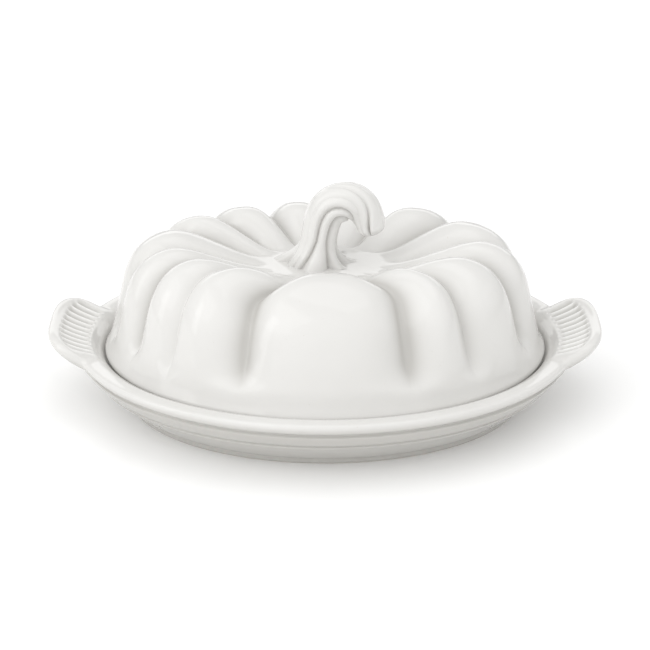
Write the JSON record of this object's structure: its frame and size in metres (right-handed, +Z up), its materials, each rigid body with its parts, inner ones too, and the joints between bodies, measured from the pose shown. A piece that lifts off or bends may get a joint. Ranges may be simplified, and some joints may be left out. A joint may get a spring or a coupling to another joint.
{
  "type": "covered butter dish",
  "caption": "Oval glazed stoneware butter dish with fluted end handles and a lift-off lobed pumpkin cover with a curled stem knob.",
  "frame": {"origin": "middle of the underside of the dish's foot ring, at the bottom of the bounding box", "axes": "+Z up, the way the cover lifts; +X along the two end handles; the front is towards -Y"},
  "size_m": [0.1952, 0.1408, 0.0799],
  "materials": {
    "white_glaze": "glossy warm white glaze"
  },
  "bodies": {
    "dish": {"dish": "white_glaze"},
    "lid": {"lid": "white_glaze", "stem": "white_glaze"}
  },
  "joints": [
    {"name": "lid_lift", "type": "slide", "parent": "dish", "child": "lid", "axis": [0, 0, 1], "range_m": [0, 0.08]}
  ]
}
